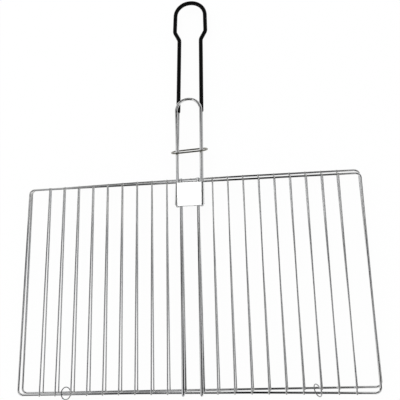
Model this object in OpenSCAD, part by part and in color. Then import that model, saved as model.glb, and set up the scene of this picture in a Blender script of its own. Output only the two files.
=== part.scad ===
// Double grill grate: two hinged wire grates with a dipped handle, a short loop and a lock ring.
// Lengths are in millimetres. +Z is up, the long handle runs along +Y, the hinge edge is at -Y.

/* [Frames] */
// Width of each frame, outside to outside
frame_w = 450; // [360:1:560]
// Depth of each frame, outside to outside
frame_d = 272; // [220:1:340]
// Diameter of the frame wire
frame_wire_d = 3; // [2.6:0.1:3.6]
// How far the middle of the lower frame's handle-side wire bows out
lower_bow = 1.5; // [0:0.1:2]
// How far the middle of the upper frame's hinge wire bows in
upper_bow = 1.4; // [0:0.1:2]
// How far the upper frame sits to the left of its bars
upper_frame_shift = 0.6; // [0:0.1:1]
// Bend radius of the frame corners, at the middle of the wire
corner_r = 6; // [5:0.5:14]
// How far wires sink into each other at a spot weld
weld_sink = 0.2; // [0.1:0.05:0.3]

/* [Bars] */
// Number of thin bars on each side of the middle
bars_per_side = 9; // [6:1:11]
// Diameter of the thin bars
bar_d = 2; // [1.8:0.1:2.4]
// Distance from the middle to the first thin bar
first_bar_x = 30.9; // [29:0.1:34]
// Distance from the side of the frame to the outermost thin bar
side_gap = 28.6; // [20:0.1:34]
// How far the thin bars stand past the outside of the hinge wire
bar_overhang = 0.4; // [0:0.1:0.8]
// How far the thin bars and the spines end short of the outside of the handle-side wire
bar_inset = 0.6; // [0:0.1:1]

/* [Spines] */
// Diameter of the heavy wire of the spines, the handle and the loop
heavy_wire_d = 4; // [3.6:0.1:4.4]
// Distance between the two spines
spine_spacing = 22.8; // [20:0.1:24]
// How far the spines reach past the middle of the hinge wire
spine_overhang = 4.2; // [3.2:0.1:4.6]
// Extra radius of the rounded ends of the spines
ball_extra = 0.08; // [0.05:0.01:0.15]

/* [Plates] */
// Thickness of the sheet of the handle plates
sheet_t = 0.8; // [0.6:0.1:1]
// Distance from the middle of the handle-side frame wire to the lower edge of a plate
plate_reach = 34.1; // [28:0.1:42]
// Gap between a plate and the frame wire next to it
plate_gap = 0.4; // [0.3:0.1:1]
// How far a plate edge is curled round its leg, in degrees past the bottom of the leg
curl_past = 50; // [20:5:70]

/* [Long handle] */
// Distance between the legs of the long handle at their feet
handle_foot_w = 34.3; // [32:0.1:37]
// Distance between the legs at the neck
handle_neck_w = 31.2; // [29:0.1:33]
// Distance between the legs at the shoulder of the grip
handle_shoulder_w = 44.6; // [42:0.1:50]
// Distance between the legs where the tip arch starts
handle_tip_w = 42.4; // [40:0.1:46]
// Distance from the middle of the grate to the neck
neck_y = 345.7; // [320:0.1:380]
// Length of the slope from the neck to the shoulder
shoulder_l = 12.9; // [11:0.1:18]
// Distance from the shoulder to the tip of the handle, at the middle of the wire
grip_l = 47.2; // [40:0.1:70]
// Bend radius at the neck and the shoulder
shoulder_r = 9; // [7:0.5:11]
// Sideways lean of the long handle, in degrees
handle_lean = 1.55; // [0:0.05:2]

/* [Dipped coat] */
// Outside diameter of the dipped coat
coat_d = 5.7; // [5:0.1:6]
// Distance from the middle of the grate to the edge of the coat
coat_start_y = 234.4; // [220:0.1:300]
// Clearance between the coat and its wire
coat_fit = 0.03; // [0.02:0.01:0.05]

/* [Loop] */
// Distance between the legs of the loop at their feet
loop_foot_w = 31.3; // [30:0.1:34]
// Distance between the legs where the loop's arch starts
loop_top_w = 34.4; // [32:0.1:38]
// Distance from the middle of the upper grate to the tip of the loop, at the middle of the wire
loop_tip_y = 253.4; // [230:0.1:280]

/* [Upper grate position] */
// Clearance between the upper frame and the spines it rests on
rest_clear = 0.3; // [0.2:0.1:0.5]
// How far the upper grate sits back towards the hinge edge
setback = 3.9; // [2.4:0.1:4.2]
// How far the upper grate sits to the right
upper_shift = -0.4; // [-1:0.1:1]
// Turn of the upper grate in its own plane, in degrees clockwise
upper_twist = 0.6; // [0:0.02:0.8]

/* [Hinge rings] */
// Diameter of the hinge ring wire
ring_wire_d = 1.3; // [1.1:0.1:1.5]
// Slack of a hinge ring round the two hinge wires it holds
ring_play = 1; // [0.8:0.05:1.2]
// Distance of the right ring from the thin bar that it straddles
right_ring_offset = 5.4; // [5:0.1:6.4]
// Lean of the left ring from flat, in degrees
left_ring_lean = 60; // [54:1:64]
// Lean of the right ring from flat, in degrees
right_ring_lean = 53; // [50:1:60]
// Turn of the left ring about the hinge edge, in degrees
left_ring_roll = 10; // [0:1:20]
// Turn of the right ring about the hinge edge, in degrees
right_ring_roll = 35; // [30:1:40]

/* [Lock ring] */
// Diameter of the lock ring wire
lock_wire_d = 2.2; // [1.8:0.1:2.6]
// Clearance of the lock ring over the loop and under the dipped coat
lock_clear = 0.3; // [0.2:0.1:0.6]
// Free space between the loop's leg and the end of the lock ring
lock_side_play = 5.2; // [4:0.1:6]
// Distance from the middle of the grate to the lock ring
lock_y = 175; // [160:1:210]
// Lean of the lock ring from upright, in degrees
lock_lean = 30; // [20:1:35]
// Turn of the lock ring across the handle, in degrees
lock_yaw = 2.3; // [0:0.1:3]

/* [Hidden] */
$fn = 48;

// Wire radii
wire_r = frame_wire_d / 2;
bar_r = bar_d / 2;
heavy_r = heavy_wire_d / 2;
coat_r = coat_d / 2;
ring_r = ring_wire_d / 2;
lock_r = lock_wire_d / 2;

// Half sizes of a frame, at the middle of its wire
half_w = frame_w / 2 - wire_r;
half_d = frame_d / 2 - wire_r;

// Bows of a frame's hinge wire and handle-side wire towards +Y: the middle third of a bowed wire is offset
lower_bows = [0, lower_bow];
upper_bows = [upper_bow, 0];
bow_x = half_w / 3;

// Heights above the middle of a grate's own frame wire
bar_z = wire_r + bar_r - weld_sink;
heavy_z = wire_r + heavy_r - weld_sink;
heavy_top_z = heavy_z + heavy_r;
stack_gap = heavy_top_z + rest_clear + wire_r;

// Spacing of the thin bars
bar_pitch = (half_w - side_gap - first_bar_x) / (bars_per_side - 1);
bar_count = 2 * bars_per_side;

// Collars that close the seams between the straight and bent stretches of a wire
seam_l = 0.4;
seam_gap = 0.05;
seam_extra = 0.03;
slight_turn = 5;

// Plates: the lower one ends short of the upper frame's wire
foot_y = half_d - plate_reach;
upper_plate_top = half_d - wire_r - plate_gap;
lower_plate_top = upper_plate_top - setback - sin(upper_twist) * handle_foot_w / 2;
sheet_lap = 0.3;

// Points of the long handle and the loop, from the left foot round to the right foot
pivot_y = half_d - plate_reach / 2;
shoulder_y = neck_y + shoulder_l;
tip_y = shoulder_y + grip_l;
arch_flat = 1;
handle_half = [
    [handle_foot_w / 2, foot_y],
    [handle_neck_w / 2, neck_y],
    [handle_shoulder_w / 2, shoulder_y],
    [handle_tip_w / 2, tip_y]
];
handle_points = concat([for (p = handle_half) [-p[0], p[1]]], [for (i = [3 : -1 : 0]) handle_half[i]]);
handle_arch_r = arch_r(handle_half[2], handle_half[3]);
handle_radii = [0, shoulder_r, shoulder_r, handle_arch_r, handle_arch_r, shoulder_r, shoulder_r, 0];
loop_half = [[loop_foot_w / 2, foot_y], [loop_top_w / 2, loop_tip_y]];
loop_points = [
    [-loop_half[0][0], loop_half[0][1]],
    [-loop_half[1][0], loop_half[1][1]],
    loop_half[1],
    loop_half[0]
];
loop_arch_r = arch_r(loop_half[0], loop_half[1]);
loop_radii = [0, loop_arch_r, loop_arch_r, 0];

// Hinge rings: each is centred between the lower and the upper hinge wire
left_ring_x = -bar_x_right(bars_per_side - 2.5);
right_ring_x = bar_x_right(bars_per_side - 3) - right_ring_offset;
hinge_reach = norm([upper_hinge_y(right_ring_x) + half_d, stack_gap]);
ring_mid_r = hinge_reach / 2 + wire_r + ring_play + ring_r;

// Lock ring: it goes round the loop and the long handle, with room for the dipped coat
lock_top_z = stack_gap + heavy_top_z + lock_clear;
lock_low_z = heavy_z - coat_r - lock_clear;
lock_mid_z = (lock_top_z + lock_low_z) / 2;
lock_half_h = ((lock_top_z - lock_low_z) / 2 + lock_r) / cos(lock_lean);
lock_half_l = loop_top_w / 2 + heavy_r + lock_side_play + lock_r;
lock_arch_flat = 0.6;

// Place of the whole part: the origin is at the bottom centre of its outer box
ring_drop = max(ring_reach_z(left_ring_lean, left_ring_roll), ring_reach_z(right_ring_lean, right_ring_roll));
base_z = ring_drop - stack_gap / 2;
low_y = ring_mid_y(right_ring_x) - ring_reach_y(right_ring_lean, right_ring_roll);
high_y = pivot_y + (tip_y - pivot_y) * cos(handle_lean) + coat_r;
origin_at = [upper_shift, (low_y + high_y) / 2, -base_z];

function name_of(grate, i) = str(grate, "_bar_", i < 10 ? "0" : "", i);
function bar_x_right(i) = first_bar_x + i * bar_pitch;
function bar_x(i) = i <= bars_per_side ? -bar_x_right(bars_per_side - i) : bar_x_right(i - bars_per_side - 1);

// Offset of a bowed wire, its slope in degrees, and the points of its two bends
function bow_y(bow, x) = bow * min(1, (half_w - abs(x)) / (half_w - bow_x));
function bow_turn(bow, x) = abs(x) < bow_x ? 0 : -sign(x) * atan(bow / (half_w - bow_x));
function bow_points(bow, side) = bow == 0 ? [] : [for (way = [side, -side]) [way * bow_x, side * half_d + bow]];

// A unit vector, the turn at a corner, and the length that a bend takes from each side of it
function unit(v) = v / norm(v);
function turn(a, b, c) = let (u = unit(b - a), v = unit(c - b)) atan2(u[0] * v[1] - u[1] * v[0], u * v);
function trim(a, b, c, bend_r) = bend_r * tan(abs(turn(a, b, c)) / 2);
// Radius that rounds both corners of an arch into one half turn
function arch_r(low, high) = (high[0] - arch_flat / 2) / tan(abs(turn(low, high, [-high[0], high[1]])) / 2);
// Half the distance between a pair of legs at a height between two points
function leg_x(low, high, y) = low[0] + (high[0] - low[0]) * (y - low[1]) / (high[1] - low[1]);

// The upper hinge wire seen from above, and the middle of a ring that joins it to the lower one
function upper_hinge_y(x) = -half_d * cos(upper_twist) - setback
    - tan(upper_twist) * (x - upper_shift + half_d * sin(upper_twist))
    + bow_y(upper_bow, x - upper_shift + upper_frame_shift);
function ring_mid_y(x) = (upper_hinge_y(x) - half_d) / 2;
// How far a leaning ring reaches from its middle along Z and along Y
function ring_reach_z(lean, roll) = ring_mid_r * norm([sin(lean) * cos(roll), sin(roll)]) + ring_r;
function ring_reach_y(lean, roll) = ring_mid_r * norm([sin(lean) * sin(roll), cos(roll)]) + ring_r;

// A straight stretch of wire in the XY plane, drawn in by trim_l at both ends
module rod(a, b, r, trim_l = 0) {
    d = b - a;
    translate([a[0], a[1], 0])
        rotate([0, 0, atan2(d[1], d[0])])
            translate([trim_l, 0, 0])
                rotate([0, 90, 0])
                    cylinder(h = norm(d) - 2 * trim_l, r = r);
}

// An arc of wire about the Z axis, between two angles
module arc(bend_r, r, from, to) {
    rotate([0, 0, from])
        rotate_extrude(angle = to - from)
            translate([bend_r, 0])
                circle(r = r);
}

// A bend of the wire at the corner b, between the points a and c, with a collar over both its seams
module bend(a, b, c, bend_r, r) {
    t = turn(a, b, c);
    u = unit(b - a);
    side = sign(t) * [-u[1], u[0]];
    middle = b - trim(a, b, c, bend_r) * u + bend_r * side;
    start = atan2(-side[1], -side[0]);
    low = start + min(0, t);
    high = start + max(0, t);
    half_seam = seam_l / 2 / bend_r * 180 / PI;
    translate([middle[0], middle[1], 0]) {
        arc(bend_r, r, low, high);
        for (at = [low, high]) arc(bend_r, r + seam_extra, at - half_seam, at + half_seam);
    }
}

// A wire bent round the corners p and joined end to end: a slight bend, as in a bowed wire, is a plain kink
module closed_wire(p, bend_r, r) {
    n = len(p);
    for (i = [0 : n - 1]) {
        a = p[i];
        b = p[(i + 1) % n];
        c = p[(i + 2) % n];
        before = p[(i + n - 1) % n];
        u = unit(b - a);
        if (abs(turn(a, b, c)) > slight_turn) bend(a, b, c, bend_r, r);
        else translate([b[0], b[1], 0]) rotate([0, 90, 0]) sphere(r = r + seam_extra);
        rod(a + trim(before, a, b, bend_r) * u, b - trim(a, b, c, bend_r) * u, r, seam_gap);
    }
}

// A wire with two free ends, bent at each inner point of p to the radius of the same number
module open_wire(p, radii, r) {
    last = len(p) - 1;
    for (i = [1 : last - 1]) bend(p[i - 1], p[i], p[i + 1], radii[i], r);
    for (i = [0 : last - 1]) {
        u = unit(p[i + 1] - p[i]);
        start = i == 0 ? -seam_gap : trim(p[i - 1], p[i], p[i + 1], radii[i]);
        end = i == last - 1 ? -seam_gap : trim(p[i], p[i + 1], p[i + 2], radii[i + 1]);
        rod(p[i] + start * u, p[i + 1] - end * u, r, seam_gap);
    }
}

// The hinge wire and the handle-side wire of a frame near x, as cutters for weld seats
module weld_seats(x, reach, bows, frame_shift = 0) {
    for (side = [-1, 1]) {
        bow = bows[side < 0 ? 0 : 1];
        translate([x, side * half_d + bow_y(bow, x + frame_shift), 0])
            rotate([0, 0, bow_turn(bow, x + frame_shift)])
                translate([-reach, 0, 0])
                    rotate([0, 90, 0])
                        cylinder(h = 2 * reach, r = wire_r);
    }
}

module frame_wire(bows) {
    hinge_side = concat([[-half_w, -half_d]], bow_points(bows[0], -1), [[half_w, -half_d]]);
    handle_side = concat([[half_w, half_d]], bow_points(bows[1], 1), [[-half_w, half_d]]);
    color("silver")
        closed_wire(concat(hinge_side, handle_side), corner_r, wire_r);
}

module thin_bar(x, bows, frame_shift = 0) {
    low_y = bow_y(bows[0], x + frame_shift) - half_d - wire_r - bar_overhang;
    high_y = bow_y(bows[1], x + frame_shift) + half_d + wire_r - bar_inset;
    color("gainsboro")
        difference() {
            translate([x, high_y, bar_z])
                rotate([90, 0, 0])
                    cylinder(h = high_y - low_y, r = bar_r);
            weld_seats(x, 2 * bar_r, bows, frame_shift);
        }
}

module spine(x, bows, frame_shift = 0) {
    ball_r = heavy_r + ball_extra;
    ball_y = bow_y(bows[0], x + frame_shift) - half_d - spine_overhang + ball_r;
    high_y = bow_y(bows[1], x + frame_shift) + half_d + wire_r - bar_inset;
    color("silver")
        difference() {
            union() {
                translate([x, high_y, heavy_z])
                    rotate([90, 0, 0])
                        cylinder(h = high_y - ball_y, r = heavy_r);
                translate([x, ball_y, heavy_z])
                    sphere(r = ball_r);
            }
            weld_seats(x, 2 * heavy_r, bows, frame_shift);
        }
}

// One plate edge curled round a leg that runs from the point low to the point high
module curl(low, high, y0, y1) {
    a = [leg_x(low, high, y0), y0];
    b = [leg_x(low, high, y1), y1];
    inner = heavy_r + coat_fit;
    outer = inner + sheet_t;
    far = 2 * outer;
    translate([b[0], b[1], 0])
        rotate([0, 0, atan2(b[1] - a[1], b[0] - a[0]) - 90])
            rotate([90, 0, 0])
                linear_extrude(height = norm(b - a))
                    difference() {
                        circle(r = outer);
                        circle(r = inner);
                        polygon([[0, 0], [0, far], [-far, far], [-far, -far * tan(90 - curl_past)]]);
                    }
}

// The flat sheet between a pair of legs, with both side edges curled round them
module handle_plate(low, high, y0, y1) {
    under = heavy_r + coat_fit;
    x0 = leg_x(low, high, y0) + sheet_lap;
    x1 = leg_x(low, high, y1) + sheet_lap;
    color("whitesmoke")
        translate([0, 0, heavy_z])
            union() {
                translate([0, 0, under])
                    linear_extrude(height = sheet_t)
                        polygon([[-x0, y0], [x0, y0], [x1, y1], [-x1, y1]]);
                curl(low, high, y0, y1);
                mirror([1, 0, 0]) curl(low, high, y0, y1);
            }
}

// Places: the whole part, the upper grate on it, and the leaning long handle
module on_base() {
    translate(-origin_at) children();
}

module on_upper() {
    on_base()
        translate([upper_shift, -setback, stack_gap])
            rotate([0, 0, -upper_twist])
                children();
}

module on_handle() {
    on_base()
        translate([0, pivot_y, 0])
            rotate([0, 0, -handle_lean])
                translate([0, -pivot_y, 0])
                    children();
}

module lower_frame() {
    on_base() frame_wire(lower_bows);
}

module upper_frame() {
    on_upper() translate([-upper_frame_shift, 0, 0]) frame_wire(upper_bows);
}

module lower_spine(side) {
    on_base() spine(side * spine_spacing / 2, lower_bows);
}

module upper_spine(side) {
    on_upper() spine(side * spine_spacing / 2, upper_bows, upper_frame_shift);
}

module lower_bar(i) {
    on_base() thin_bar(bar_x(i), lower_bows);
}

module upper_bar(i) {
    on_upper() thin_bar(bar_x(i), upper_bows, upper_frame_shift);
}

module lower_plate() {
    on_handle() handle_plate(handle_half[0], handle_half[1], foot_y, lower_plate_top);
}

module upper_plate() {
    on_upper() handle_plate(loop_half[0], loop_half[1], foot_y, upper_plate_top);
}

module long_handle() {
    color("silver")
        difference() {
            on_handle()
                translate([0, 0, heavy_z])
                    open_wire(handle_points, handle_radii, heavy_r);
            on_base() weld_seats(0, handle_foot_w, lower_bows);
        }
}

module grip_coat() {
    cut_l = 2;
    edge = [leg_x(handle_half[0], handle_half[1], coat_start_y), coat_start_y];
    down = unit(handle_half[0] - handle_half[1]);
    start = edge + cut_l * down;
    inner = [for (i = [1 : 6]) handle_points[i]];
    outer_points = concat([[-edge[0], edge[1]]], inner, [edge]);
    bore_points = concat([[-start[0], start[1]]], inner, [start]);
    color("black")
        on_handle()
            translate([0, 0, heavy_z])
                difference() {
                    open_wire(outer_points, handle_radii, coat_r);
                    open_wire(bore_points, handle_radii, heavy_r + coat_fit);
                }
}

module upper_loop() {
    color("silver")
        on_upper()
            difference() {
                translate([0, 0, heavy_z]) open_wire(loop_points, loop_radii, heavy_r);
                weld_seats(0, loop_foot_w, upper_bows);
            }
}

module hinge_ring(x, lean, roll) {
    color("darkgray")
        on_base()
            translate([x, ring_mid_y(x), stack_gap / 2])
                rotate([-roll, 0, 0])
                    rotate([0, lean, 0])
                        rotate_extrude()
                            translate([ring_mid_r, 0])
                                circle(r = ring_r);
}

module lock_ring() {
    p = [lock_half_l - lock_r, lock_half_h];
    color("silver")
        on_handle()
            translate([0, lock_y, lock_mid_z])
                rotate([0, 0, handle_lean + lock_yaw])
                    rotate([90 + lock_lean, 0, 0])
                        closed_wire([-p, [p[0], -p[1]], p, [-p[0], p[1]]], lock_half_h - lock_arch_flat / 2, lock_r);
}

lower_frame();
lower_spine(-1);  // lower_spine_left
lower_spine(1);  // lower_spine_right
lower_plate();
long_handle();
grip_coat();
upper_frame();
upper_spine(-1);  // upper_spine_left
upper_spine(1);  // upper_spine_right
upper_plate();
upper_loop();
hinge_ring(left_ring_x, left_ring_lean, left_ring_roll);  // hinge_ring_left
hinge_ring(right_ring_x, right_ring_lean, right_ring_roll);  // hinge_ring_right
lock_ring();
for (i = [1 : bar_count]) lower_bar(i);
for (i = [1 : bar_count]) upper_bar(i);
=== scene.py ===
"""Looks for the double grill grate: plated wire, bright sheet plates, zinc rings and a dipped vinyl coat.

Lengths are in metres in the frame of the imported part: +Z is up and the long handle runs along +Y.
"""

import math

import bpy
from mathutils import Matrix, Vector


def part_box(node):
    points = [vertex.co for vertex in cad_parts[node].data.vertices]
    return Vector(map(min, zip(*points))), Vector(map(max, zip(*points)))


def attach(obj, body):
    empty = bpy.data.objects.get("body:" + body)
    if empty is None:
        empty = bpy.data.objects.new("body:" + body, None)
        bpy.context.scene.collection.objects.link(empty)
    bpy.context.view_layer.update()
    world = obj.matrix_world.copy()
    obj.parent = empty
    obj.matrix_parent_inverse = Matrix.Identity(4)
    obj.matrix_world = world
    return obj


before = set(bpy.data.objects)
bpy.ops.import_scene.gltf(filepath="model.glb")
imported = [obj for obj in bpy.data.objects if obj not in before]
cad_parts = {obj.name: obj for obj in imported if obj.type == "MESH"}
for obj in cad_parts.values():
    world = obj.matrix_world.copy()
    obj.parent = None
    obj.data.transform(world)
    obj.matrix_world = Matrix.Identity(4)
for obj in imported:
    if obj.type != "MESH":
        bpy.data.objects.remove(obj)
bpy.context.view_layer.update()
MM = 0.001

# The two long sides of a grate, seen from its middle
HINGE, HANDLE = -1, 1

# Where each grate's own middle lies in the part's frame and how it is turned. The rest is in mm:
# how far the middle of each long frame wire is bowed towards the handle, how far the frame sits left of its
# bars, the side and place of the weld that closes the frame, the width between the plate's two legs,
# and a number that makes its spot welds uneven in their own way.
LOWER_AT = Vector((0.4, -132.019, 3.56435)) * MM
GRATES = {
    "lower_grate": {
        "at": LOWER_AT,
        "turn": 0.0,
        "bow": {HINGE: 0, HANDLE: 1.5},
        "frame_shift": 0,
        "butt_weld": (HANDLE, 1.4),
        "leg_spacing": 34.3,
        "weld_seed": 0,
    },
    "upper_grate": {
        "at": LOWER_AT + Vector((-0.4, -3.9, 7.1)) * MM,
        "turn": math.radians(-0.6),
        "bow": {HINGE: 1.4, HANDLE: 0},
        "frame_shift": 0.6,
        "butt_weld": (HINGE, -2.2),
        "leg_spacing": 31.3,
        "weld_seed": 3,
    },
}

# Frame wires, from a grate's middle to the middle of the wire, and the bars and spines, in mm
FRAME_HALF_W = 223.5
FRAME_HALF_D = 134.5
FIRST_BAR_X = 30.9
BAR_STEP = 20.5
BARS_A_SIDE = 9
SPINE_X = 11.4


def linear(hex_colour):
    """An sRGB hex value as linear red, green, blue and alpha."""
    parts = [int(hex_colour[i : i + 2], 16) / 255 for i in (1, 3, 5)]
    return [c / 12.92 if c <= 0.04045 else ((c + 0.055) / 1.055) ** 2.4 for c in parts] + [1.0]


def add(tree, kind, links=None, stops=(), **settings):
    """Adds a node with its settings: each input in links gets a constant or another node's output.

    stops are for a node with a colour ramp: each is a position and a colour.
    """
    made = tree.nodes.new(kind)
    for key, value in settings.items():
        setattr(made, key, value)
    for key, value in (links or {}).items():
        if isinstance(value, bpy.types.NodeSocket):
            tree.links.new(value, made.inputs[key])
        else:
            made.inputs[key].default_value = value
    for k, (position, colour) in enumerate(stops):
        elements = made.color_ramp.elements
        element = elements[k] if k < len(elements) else elements.new(position)
        element.position = position
        element.color = colour
    return made


def new_material(name):
    """An empty material, its node tree, its Principled shader and its object coordinates."""
    made = bpy.data.materials.new(name)
    made.use_nodes = True
    tree = made.node_tree
    shader = tree.nodes["Principled BSDF"]
    place = add(tree, "ShaderNodeTexCoord").outputs["Object"]
    return made, tree, shader, place


def cover(tree, shader, tint, rough, relief):
    """Joins a colour, a roughness and layers of relief to the shader.

    Each layer of relief is a height, a strength and a depth.
    """
    tree.links.new(tint, shader.inputs["Base Color"])
    tree.links.new(rough, shader.inputs["Roughness"])
    under = {}
    for height, strength, depth in relief:
        layer = {"Height": height, "Strength": strength, "Distance": depth, **under}
        under = {"Normal": add(tree, "ShaderNodeBump", layer).outputs["Normal"]}
    tree.links.new(under["Normal"], shader.inputs["Normal"])


def plated_wire(name, bars_of=None, gloss=(0.05, 0.1), tints=("#dcdddf", "#e5e5e4")):
    """Bright nickel-chrome plating over drawn steel wire.

    The plating is mirror-like but follows the wire's faint ripple, so reflections waver along it.
    bars_of is the grate that bars belong to: their plating is duller at the two spot welds.
    gloss is the least and the most roughness, and tints are the plating's two shades.
    """
    made, tree, shader, place = new_material(name)
    # The drawn wire ripples every 14 mm and the plating stains every 24 mm.
    # Real orange peel is finer than 0.8 mm, and is drawn that coarse so that it shows.
    ripple = add(tree, "ShaderNodeTexNoise", {"Vector": place, "Scale": 1 / (14 * MM), "Detail": 2.0})
    stain = add(tree, "ShaderNodeTexNoise", {"Vector": place, "Scale": 1 / (24 * MM), "Detail": 4.0})
    peel = add(tree, "ShaderNodeTexNoise", {"Vector": place, "Scale": 1 / (0.8 * MM), "Detail": 3.0})
    shades = [(0.3, linear(tints[0])), (0.7, linear(tints[1]))]
    tint = add(tree, "ShaderNodeValToRGB", {"Fac": stain.outputs["Fac"]}, shades).outputs["Color"]
    spread = {"From Min": 0.3, "From Max": 0.7, "To Min": gloss[0], "To Max": gloss[1]}
    rough = add(tree, "ShaderNodeMapRange", {"Value": peel.outputs["Fac"], **spread}).outputs["Result"]
    if bars_of:
        # Distance from the two frame wires that the bars are welded to, in the grate's own frame
        own = add(
            tree,
            "ShaderNodeMapping",
            {"Vector": place, "Location": bars_of["at"], "Rotation": (0, 0, bars_of["turn"])},
            vector_type="TEXTURE",
        )
        y = add(tree, "ShaderNodeSeparateXYZ", {"Vector": own.outputs["Vector"]}).outputs["Y"]
        away = add(tree, "ShaderNodeMath", {0: y}, operation="ABSOLUTE").outputs[0]
        off = add(tree, "ShaderNodeMath", {0: FRAME_HALF_D * MM, 1: away}, operation="SUBTRACT").outputs[0]
        heat = add(
            tree,
            "ShaderNodeMapRange",
            {"Value": off, "From Min": 1.5 * MM, "From Max": 4.5 * MM, "To Min": 1.0, "To Max": 0.0},
            interpolation_type="SMOOTHSTEP",
        ).outputs["Result"]
        dull = {"Fac": heat, "Color1": tint, "Color2": linear("#dcdcda")}
        tint = add(tree, "ShaderNodeMixRGB", dull).outputs["Color"]
        rough = add(tree, "ShaderNodeMath", {0: heat, 1: 0.2, 2: rough}, operation="MULTIPLY_ADD").outputs[0]
    relief = [(ripple.outputs["Fac"], 0.25, 0.4 * MM), (peel.outputs["Fac"], 0.1, 0.02 * MM)]
    cover(tree, shader, tint, rough, relief)
    shader.inputs["Metallic"].default_value = 1.0
    return made


def plated_sheet(name):
    """Bright plating over rolled steel sheet.

    It is flatter than the wire and softer in gloss, with faint rolling lines.
    """
    made, tree, shader, place = new_material(name)
    # The sheet waves every 14 mm, and its rolling lines are 30 mm long.
    # The real lines lie closer than 0.4 mm, and are drawn that coarse so that they show.
    grain = (1 / (0.4 * MM), 1 / (30 * MM), 1 / (0.4 * MM))
    lines = add(tree, "ShaderNodeMapping", {"Vector": place, "Scale": grain})
    rolled = add(tree, "ShaderNodeTexNoise", {"Vector": lines.outputs["Vector"], "Scale": 1.0, "Detail": 2.0})
    wave = add(tree, "ShaderNodeTexNoise", {"Vector": place, "Scale": 1 / (14 * MM), "Detail": 2.0})
    shades = [(0.3, linear("#e0e1e2")), (0.7, linear("#e8e8e7"))]
    tint = add(tree, "ShaderNodeValToRGB", {"Fac": wave.outputs["Fac"]}, shades).outputs["Color"]
    spread = {"From Min": 0.3, "From Max": 0.7, "To Min": 0.15, "To Max": 0.21}
    rough = add(tree, "ShaderNodeMapRange", {"Value": rolled.outputs["Fac"], **spread}).outputs["Result"]
    relief = [(wave.outputs["Fac"], 0.2, 0.2 * MM), (rolled.outputs["Fac"], 0.1, 0.03 * MM)]
    cover(tree, shader, tint, rough, relief)
    shader.inputs["Metallic"].default_value = 1.0
    return made


def dipped_vinyl(name):
    """Black plastisol, dipped and cured on the wire: deep black, satin, with the slow sags of a dip."""
    made, tree, shader, place = new_material(name)
    # The dip sags every 9 mm. Real pores are finer than 0.5 mm, and are drawn that coarse so that they show.
    sag = add(tree, "ShaderNodeTexNoise", {"Vector": place, "Scale": 1 / (9 * MM), "Detail": 1.0})
    pore = add(tree, "ShaderNodeTexNoise", {"Vector": place, "Scale": 1 / (0.5 * MM), "Detail": 3.0})
    shades = [(0.3, linear("#020202")), (0.7, linear("#040404"))]
    tint = add(tree, "ShaderNodeValToRGB", {"Fac": sag.outputs["Fac"]}, shades).outputs["Color"]
    spread = {"From Min": 0.3, "From Max": 0.7, "To Min": 0.5, "To Max": 0.6}
    rough = add(tree, "ShaderNodeMapRange", {"Value": pore.outputs["Fac"], **spread}).outputs["Result"]
    relief = [(sag.outputs["Fac"], 0.3, 0.25 * MM), (pore.outputs["Fac"], 0.1, 0.04 * MM)]
    cover(tree, shader, tint, rough, relief)
    shader.inputs["IOR"].default_value = 1.5
    shader.inputs["Specular IOR Level"].default_value = 0.15
    return made


# Camera: the photograph's own, found from the frame's corners, the bars and the handle
PHOTO_W = 400
FOCAL_LENGTH = 529.88  # in pixels of the photograph
CAMERA_AT = LOWER_AT + Vector((95.087, -66.972, 684.93)) * MM
CAMERA_TURN = Vector((0.2446, 0.1220, -0.0446))  # axis, as long as the angle in radians
camera = bpy.data.objects.new("camera", bpy.data.cameras.new("camera"))
bpy.context.scene.collection.objects.link(camera)
aim = Matrix.Rotation(CAMERA_TURN.length, 4, CAMERA_TURN.normalized())
camera.matrix_world = Matrix.Translation(CAMERA_AT) @ aim
camera.data.sensor_width = 36
camera.data.lens = FOCAL_LENGTH / PHOTO_W * camera.data.sensor_width
camera.data.clip_start = 0.01
camera.data.clip_end = 50
bpy.context.scene.camera = camera

# Materials of the carried-over nodes
wire = plated_wire("nickel_chrome_wire")
lower_bar = plated_wire("nickel_chrome_bar_lower", bars_of=GRATES["lower_grate"])
upper_bar = plated_wire("nickel_chrome_bar_upper", bars_of=GRATES["upper_grate"])
sheet = plated_sheet("nickel_chrome_sheet")
vinyl = dipped_vinyl("dipped_vinyl")
# The three loose rings are zinc-plated and not chromed, so they are greyer and duller than the grates.
# The lock ring also has the faint olive cast of a chromate bath.
ZINC_GLOSS = (0.16, 0.26)
zinc = plated_wire("bright_zinc_wire", gloss=ZINC_GLOSS, tints=("#8c8d8d", "#a0a1a1"))
chromated_zinc = plated_wire("chromated_zinc_wire", gloss=ZINC_GLOSS, tints=("#8b8a83", "#9f9e96"))
# The same plating over squeezed weld metal, whose skin is too rough to mirror
weld_metal = plated_wire("nickel_chrome_weld", gloss=(0.16, 0.3))
FINISHES = {
    "grip_coat": vinyl,
    "lower_plate": sheet,
    "upper_plate": sheet,
    "hinge_ring_left": zinc,
    "hinge_ring_right": zinc,
    "lock_ring": chromated_zinc,
}
for name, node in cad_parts.items():
    if name.startswith("lower_bar"):
        finish = lower_bar
    elif name.startswith("upper_bar"):
        finish = upper_bar
    else:
        finish = FINISHES.get(name, wire)
    node.data.materials.clear()
    node.data.materials.append(finish)


def frame_wire_y(grate, x, side):
    """Where one side's frame wire runs at x: a bowed wire's middle third is offset, and its ends slope."""
    from_end = FRAME_HALF_W - abs(x + grate["frame_shift"])
    return side * FRAME_HALF_D + grate["bow"][side] * min(1, from_end / (FRAME_HALF_W * 2 / 3))


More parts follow.
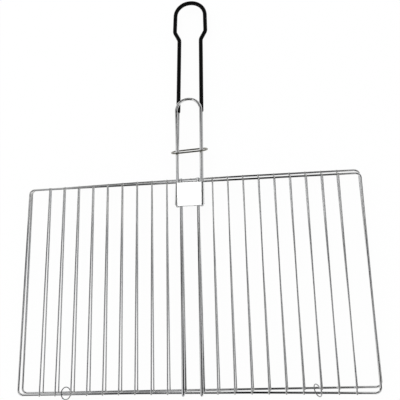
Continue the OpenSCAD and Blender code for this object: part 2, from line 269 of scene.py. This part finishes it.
def lathe(verts, faces, spine, radii, sides, wobble):
    """Adds a tube round a line of points, closed at both ends, with a radius at each.

    wobble is how uneven it is, as a share of the radius.
    """
    base = len(verts)
    for k, (point, radius) in enumerate(zip(spine, radii)):
        ahead = (spine[min(k + 1, len(spine) - 1)] - spine[max(k - 1, 0)]).normalized()
        flat = ahead.cross(Vector((0, 0, 1))) if abs(ahead.z) < 0.9 else ahead.cross(Vector((0, 1, 0)))
        flat.normalize()
        up = flat.cross(ahead)
        for j in range(sides):
            way = 2 * math.pi * j / sides
            reach = radius * (1 + wobble * math.sin(3 * way + 1.7 * k) + 0.6 * wobble * math.sin(5 * way - k))
            verts.append(point + flat * (reach * math.cos(way)) + up * (reach * math.sin(way)))
    for k in range(len(spine) - 1):
        for j in range(sides):
            a, b = base + k * sides + j, base + k * sides + (j + 1) % sides
            faces.append((a, b, b + sides, a + sides))
    faces.append(tuple(base + j for j in reversed(range(sides))))
    last = base + (len(spine) - 1) * sides
    faces.append(tuple(last + j for j in range(sides)))


def pillow(verts, faces, centre, half, seed, sides=12, rows=5):
    """Adds a low uneven pillow of metal, as squeezed out of a spot weld; half is its size from the middle."""
    base = len(verts)
    verts.append(centre - Vector((0, 0, half[2])))
    for i in range(rows):
        lift = math.pi * ((i + 1) / (rows + 1) - 0.5)
        for j in range(sides):
            way = 2 * math.pi * j / sides
            swell = 1 + 0.09 * math.sin(3 * way + seed) + 0.06 * math.sin(5 * way + 2.3 * seed)
            reach = math.cos(lift) * swell
            x, y = reach * math.cos(way), reach * math.sin(way)
            verts.append(centre + Vector((half[0] * x, half[1] * y, half[2] * math.sin(lift))))
    verts.append(centre + Vector((0, 0, half[2])))
    top = base + 1 + (rows - 1) * sides
    for j in range(sides):
        nxt = (j + 1) % sides
        faces.append((base, base + 1 + nxt, base + 1 + j))
        for i in range(rows - 1):
            a, b = base + 1 + i * sides + j, base + 1 + i * sides + nxt
            faces.append((a, b, b + sides, a + sides))
        faces.append((top + j, top + nxt, base + 1 + rows * sides))


def new_piece(name, body, material, verts, faces, grate=None):
    """A smooth mesh that rides on a body; with a grate, its points are in that grate's own frame in mm."""
    if grate:
        spun = Matrix.Rotation(grate["turn"], 3, "Z")
        verts = [grate["at"] + spun @ (v * MM) for v in verts]
    mesh = bpy.data.meshes.new(name)
    mesh.from_pydata(verts, [], faces)
    mesh.polygons.foreach_set("use_smooth", [True] * len(mesh.polygons))
    mesh.materials.append(material)
    made = bpy.data.objects.new(name, mesh)
    bpy.context.scene.collection.objects.link(made)
    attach(made, body)
    return made


# The small pieces are in their grate's own frame in mm: x and y from its middle, z from the frame wire's.
# A weld's size is from its middle. One that would reach past the frame wire's outer edge is shorter.
WELD_Z = 1.4
BAR_WELD = (1.25, 1.65, 0.5)
SHORT_BAR_WELD = (1.25, 1.35, 0.5)
SPINE_WELD = (1.9, 1.6, 0.55)
WIRE_EDGE = 135.4


def spot_welds(body, grate):
    """Metal squeezed out where the bars and the spines are welded to the two long frame wires."""
    verts, faces = [], []
    for side in (HINGE, HANDLE):
        for hand in (-1, 1):
            for i in range(BARS_A_SIDE):
                x = hand * (FIRST_BAR_X + BAR_STEP * i)
                y = frame_wire_y(grate, x, side)
                size = SHORT_BAR_WELD if abs(y + side * BAR_WELD[1]) > WIRE_EDGE else BAR_WELD
                seed = x + 7 * side + grate["weld_seed"]
                pillow(verts, faces, Vector((x, y, WELD_Z)), size, seed)
            x = hand * SPINE_X
            pillow(verts, faces, Vector((x, frame_wire_y(grate, x, side), WELD_Z)), SPINE_WELD, x + side)
    new_piece(body.split("_")[0] + "_spot_welds", body, weld_metal, verts, faces, grate)


# A butt weld's collar on the 3 mm wire: places along the wire and the radius at each
BUTT_COLLAR = [(-1.9, 1.42), (-1.3, 1.54), (-0.6, 1.66), (0, 1.7), (0.5, 1.65), (1.2, 1.53), (1.8, 1.42)]


def butt_weld(body, grate):
    """The low collar where the frame wire's two ends were joined."""
    side, x = grate["butt_weld"]
    y = frame_wire_y(grate, x, side)
    verts, faces = [], []
    spine = [Vector((x + along_x, y, 0)) for along_x, _ in BUTT_COLLAR]
    lathe(verts, faces, spine, [radius for _, radius in BUTT_COLLAR], sides=20, wobble=0.02)
    new_piece(body.split("_")[0] + "_butt_weld", body, weld_metal, verts, faces, grate)


# The handle plate: the y of its lower edge, the height of the legs' middle, the radius of the sheet's middle
# round a leg, where the curl ends, and the radius of the rolled edge
PLATE_EDGE_Y = 100.42
LEG_Z = 3.3
CURL_R = 2.45
CURL_END = 210  # degrees round from the top of a leg
RIM_R = 0.46


def plate_rim(body, grate):
    """Rolled lower edge of the handle plate: it follows the sheet over the spines and round both legs."""
    leg_x = grate["leg_spacing"] / 2
    ways = [math.radians(degrees) for degrees in range(0, CURL_END + 1, 15)]
    curl = [(leg_x + CURL_R * math.sin(way), LEG_Z + CURL_R * math.cos(way)) for way in ways]
    flat = [(leg_x * quarter / 4, LEG_Z + CURL_R) for quarter in range(-3, 4)]
    rim = [(-x, z) for x, z in reversed(curl)] + flat + curl
    verts, faces = [], []
    spine = [Vector((x, PLATE_EDGE_Y, z)) for x, z in rim]
    lathe(verts, faces, spine, [RIM_R] * len(rim), sides=10, wobble=0.06)
    new_piece(body.split("_")[0] + "_plate_rim", body, sheet, verts, faces, grate)


for body, grate in GRATES.items():
    spot_welds(body, grate)
    butt_weld(body, grate)
    plate_rim(body, grate)

# The dip's edge on a leg, in mm: how far inside the coat's end a place is, below 0 outside it, and its radius
DIP_EDGE = [(0.6, 2.8), (0.0, 2.84), (-0.35, 2.7), (-0.8, 2.4), (-1.3, 2.16), (-1.9, 2.04)]


def coat_edge():
    """Feathered edge of the dip: the coat thins out over two millimetres past its end on each leg."""
    box_low, box_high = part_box("grip_coat")
    middle = (box_low[0] + box_high[0]) / 2
    end = [v.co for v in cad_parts["grip_coat"].data.vertices if v.co.y < box_low[1] + 3 * MM]
    verts, faces = [], []
    for leg in ([c for c in end if c.x < middle], [c for c in end if c.x >= middle]):
        low = min(c.y for c in leg)
        ring = [c for c in leg if c.y < low + 0.3 * MM]
        x = (min(c.x for c in ring) + max(c.x for c in ring)) / 2
        z = (min(c.z for c in ring) + max(c.z for c in ring)) / 2
        spine = [Vector((x, low + inside * MM, z)) for inside, _ in DIP_EDGE]
        lathe(verts, faces, spine, [radius * MM for _, radius in DIP_EDGE], sides=20, wobble=0.012)
    new_piece("coat_edge", "lower_grate", vinyl, verts, faces)


coat_edge()

# White floor: its own white for camera and mirror rays, with a little of the light's shadow left in it.
# Opened flat, the upper grate reaches 6.4 mm below the closed part, so the floor lies just under that.
FLOOR_HALF = 4.0
FLOOR_Z = -6.6 * MM
FLOOR_GLOW_SHARE = 0.94
floor_mesh = bpy.data.meshes.new("floor")
corners = [(x * FLOOR_HALF, y * FLOOR_HALF, 0) for x, y in ((-1, -1), (1, -1), (1, 1), (-1, 1))]
floor_mesh.from_pydata(corners, [], [(0, 1, 2, 3)])
floor = bpy.data.objects.new("floor", floor_mesh)
bpy.context.scene.collection.objects.link(floor)
floor.location.z = FLOOR_Z


def sweep_paper(name):
    """Matt white studio paper that also glows its own white where the camera or a mirror looks at it."""
    made, tree, shader, _ = new_material(name)
    shader.inputs["Base Color"].default_value = linear("#f4f4f4")
    shader.inputs["Roughness"].default_value = 0.9
    shader.inputs["Specular IOR Level"].default_value = 0.0
    glow = add(tree, "ShaderNodeEmission", {"Color": linear("#ffffff"), "Strength": 1.0})
    ray = add(tree, "ShaderNodeLightPath").outputs
    seen = ray["Is Camera Ray"]
    for kind in ("Is Glossy Ray", "Is Transmission Ray"):
        seen = add(tree, "ShaderNodeMath", {0: seen, 1: ray[kind]}, operation="MAXIMUM").outputs[0]
    share = add(tree, "ShaderNodeMath", {0: seen, 1: FLOOR_GLOW_SHARE}, operation="MULTIPLY").outputs[0]
    mixed = add(tree, "ShaderNodeMixShader", {0: share, 1: shader.outputs[0], 2: glow.outputs[0]})
    tree.links.new(mixed.outputs[0], tree.nodes["Material Output"].inputs["Surface"])
    return made


floor_mesh.materials.append(sweep_paper("white_sweep_paper"))

# White studio all round
world = bpy.data.worlds.new("studio")
bpy.context.scene.world = world
world.use_nodes = True
world.node_tree.nodes["Background"].inputs["Color"].default_value = linear("#ffffff")
world.node_tree.nodes["Background"].inputs["Strength"].default_value = 1.0

# Reflection cards over the set, as a photographer hangs for bright metal: only the metal sees them.
# They lie on a dome and leave a dark gap between them round the camera.
DOME_R = 3.0
RINGS, SPOKES = 12, 32


def half_dome(name, radius):
    """A dome of quads over the floor, closed at its top."""
    verts = [(0, 0, radius)]
    for i in range(1, RINGS + 1):
        lift = math.radians(90 - 90 * i / RINGS)
        for j in range(SPOKES):
            way = 2 * math.pi * j / SPOKES
            flat = radius * math.cos(lift)
            verts.append((flat * math.cos(way), flat * math.sin(way), radius * math.sin(lift)))
    faces = [(0, 1 + j, 1 + (j + 1) % SPOKES) for j in range(SPOKES)]
    for i in range(RINGS - 1):
        for j in range(SPOKES):
            a, b = 1 + i * SPOKES + j, 1 + i * SPOKES + (j + 1) % SPOKES
            faces.append((a, a + SPOKES, b + SPOKES, b))
    mesh = bpy.data.meshes.new(name)
    mesh.from_pydata(verts, [], faces)
    return mesh


tent_mesh = half_dome("reflection_cards", DOME_R)
tent = bpy.data.objects.new("reflection_cards", tent_mesh)
bpy.context.scene.collection.objects.link(tent)
tent.visible_camera = False
tent.visible_diffuse = False
tent.visible_transmission = False
tent.visible_shadow = False

# Each card, in shares of the dome's radius across and along the handle: its left and right edge, how soft
# they are, its front and back edge, how soft they are, and its strength. An edge at OPEN runs on to the
# dome's foot.
OPEN = 2.0
CARDS = {
    "front left": (-OPEN, -0.5, 0.1, -OPEN, -0.3, 0.3, 0.85),
    "front right": (0.23, OPEN, 0.1, -OPEN, -0.3, 0.3, 0.8),
    "left": (-OPEN, -0.38, 0.1, -0.3, -0.03, 0.25, 0.7),
    "left strip": (-0.45, -0.35, 0.1, -0.3, -0.03, 0.25, 1.0),
    "inner left strip": (-0.25, -0.15, 0.1, -0.3, -0.03, 0.25, 0.35),
    "faint left strip": (-0.35, -0.15, 0.1, -0.03, 0.31, 0.1, 0.3),
    "right strip": (0.28, 0.5, 0.15, -0.1, 0.23, 0.2, 1.8),
    "left back": (-0.58, -0.34, 0.1, 0.19, 0.32, 0.1, 0.9),
    "far left back": (-OPEN, -0.35, 0.1, 0.3, 0.43, 0.1, 0.6),
    "right back": (0.08, 0.45, 0.15, 0.29, 0.41, 0.1, 1.2),
    "back left": (-OPEN, -0.42, 0.15, 0.5, OPEN, 0.2, 0.7),
    "back right": (0.23, OPEN, 0.1, 0.6, OPEN, 0.2, 0.8),
    "over the plates": (-0.21, -0.06, 0.04, 0.18, 0.34, 0.05, 2.3),
}


def lit_cards(name):
    """Light of the cards by place on the dome: a card fades out over its soft edges, and cards add up."""
    made, tree, shader, place = new_material(name)
    tree.nodes.remove(shader)
    spot = add(tree, "ShaderNodeSeparateXYZ", {"Vector": place})
    across = add(tree, "ShaderNodeMath", {0: spot.outputs["X"], 1: DOME_R}, operation="DIVIDE").outputs[0]
    along = add(tree, "ShaderNodeMath", {0: spot.outputs["Y"], 1: DOME_R}, operation="DIVIDE").outputs[0]
    level = 0.0
    for left, right, soft_across, front, back, soft_along, strength in CARDS.values():
        # Each edge: its direction, place and softness, and the level before and after it
        edges = (
            (across, left, soft_across, 0.0, 1.0),
            (across, right, soft_across, 1.0, 0.0),
            (along, front, soft_along, 0.0, 1.0),
            (along, back, soft_along, 1.0, 0.0),
        )
        card = strength
        for value, at, soft, before, after in edges:
            if abs(at) == OPEN:
                continue
            start, end = at - soft / 2, at + soft / 2
            fade = add(
                tree,
                "ShaderNodeMapRange",
                {"Value": value, "From Min": start, "From Max": end, "To Min": before, "To Max": after},
                interpolation_type="SMOOTHSTEP",
            ).outputs["Result"]
            card = add(tree, "ShaderNodeMath", {0: fade, 1: card}, operation="MULTIPLY").outputs[0]
        level = add(tree, "ShaderNodeMath", {0: card, 1: level}, operation="ADD").outputs[0]
    shine = add(tree, "ShaderNodeEmission", {"Color": linear("#ffffff"), "Strength": level})
    tree.links.new(shine.outputs[0], tree.nodes["Material Output"].inputs["Surface"])
    return made


tent_mesh.materials.append(lit_cards("reflection_cards"))

# One soft overhead light, off to the handle's side
KEY_SIZE = 0.8
KEY_POWER = 3
key = bpy.data.objects.new("key", bpy.data.lights.new("key", "AREA"))
bpy.context.scene.collection.objects.link(key)
key.data.shape = "DISK"
key.data.size = KEY_SIZE
key.data.energy = KEY_POWER
key.location = (-0.5, 0.6, 1.4)
key.rotation_euler = (Vector((0, 0, 0)) - key.location).to_track_quat("-Z", "Y").to_euler()
key.visible_glossy = False

bpy.context.scene.view_settings.view_transform = "Standard"
